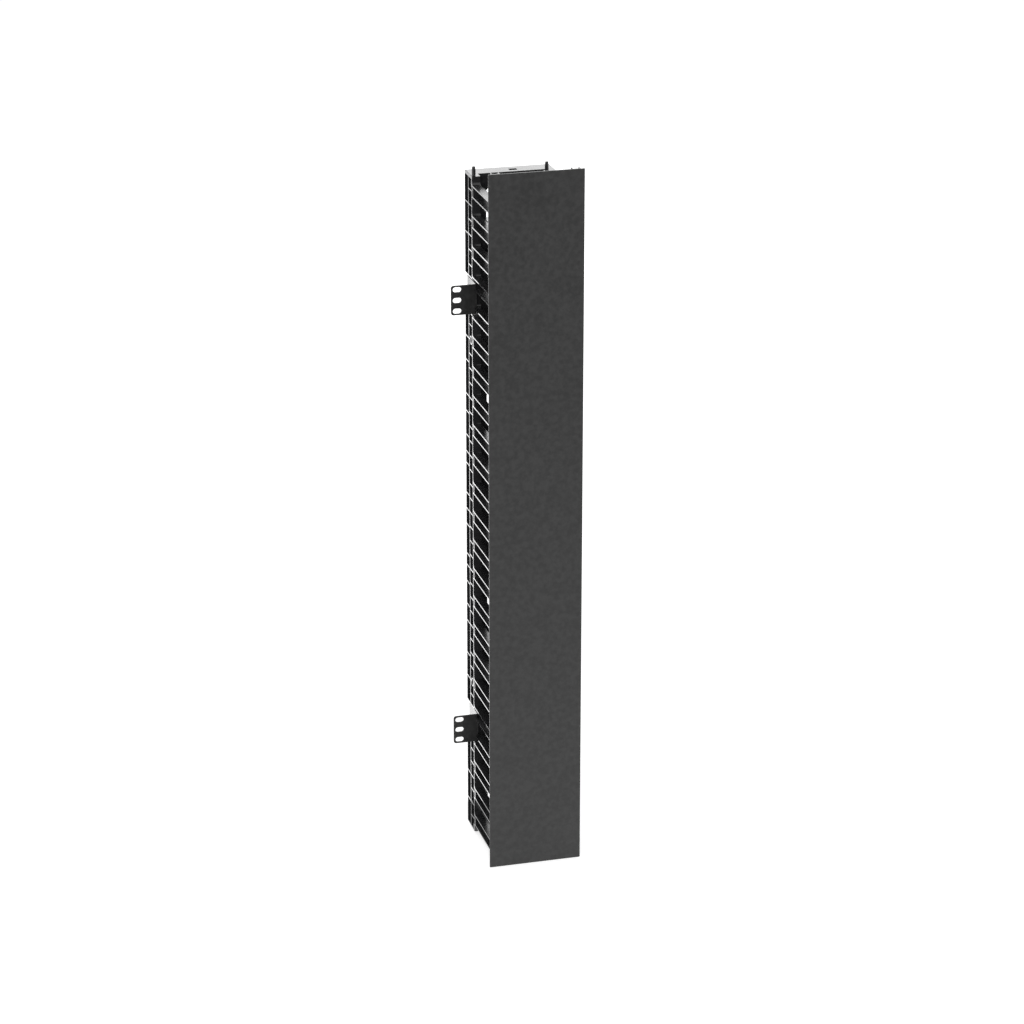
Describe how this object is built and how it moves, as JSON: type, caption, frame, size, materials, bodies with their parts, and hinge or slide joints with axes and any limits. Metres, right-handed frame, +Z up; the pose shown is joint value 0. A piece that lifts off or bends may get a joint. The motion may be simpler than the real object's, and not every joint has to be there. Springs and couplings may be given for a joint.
{
  "type": "vertical cable manager",
  "caption": "Tall rack cable duct: ribbed side walls with fingers, a back panel with pass-through openings, steel rack brackets and a flat cover that swings open.",
  "frame": {"origin": "middle of the four middle rack slots, on the back of the bracket flanges that meets the rack rail", "axes": "+X to the manager's right seen from the front, -Y out of the rack towards the cover, +Z up"},
  "size_m": [0.1924, 0.159, 1.0551],
  "materials": {
    "wall_plastic": "black moulded plastic, satin",
    "cover_finish": "dark grey satin",
    "bracket_steel": "black powder coat",
    "screw_steel": "black zinc"
  },
  "bodies": {
    "manager": {"left_wall_1": "wall_plastic", "left_wall_2": "wall_plastic", "left_wall_3": "wall_plastic", "left_wall_4": "wall_plastic", "left_wall_5": "wall_plastic", "right_wall_1": "wall_plastic", "right_wall_2": "wall_plastic", "right_wall_3": "wall_plastic", "right_wall_4": "wall_plastic", "right_wall_5": "wall_plastic", "back_panel_1": "wall_plastic", "back_panel_2": "wall_plastic", "back_panel_3": "wall_plastic", "back_panel_4": "wall_plastic", "top_cap": "wall_plastic", "left_stacking_pin": "wall_plastic", "right_stacking_pin": "wall_plastic", "left_socket": "wall_plastic", "right_socket": "wall_plastic", "left_wall_screws": "screw_steel", "right_wall_screws": "screw_steel", "upper_bracket": "bracket_steel", "lower_bracket": "bracket_steel", "upper_bracket_screws": "screw_steel", "lower_bracket_screws": "screw_steel"},
    "cover": {"cover_panel": "cover_finish", "left_hinge_channel": "wall_plastic", "right_hinge_channel": "wall_plastic"}
  },
  "joints": [
    {"name": "cover_hinge", "type": "hinge", "parent": "manager", "child": "cover", "pos_m": [-0.05795, -0.1, 0], "axis": [0, 0, -1], "range_deg": [0, 100]}
  ]
}
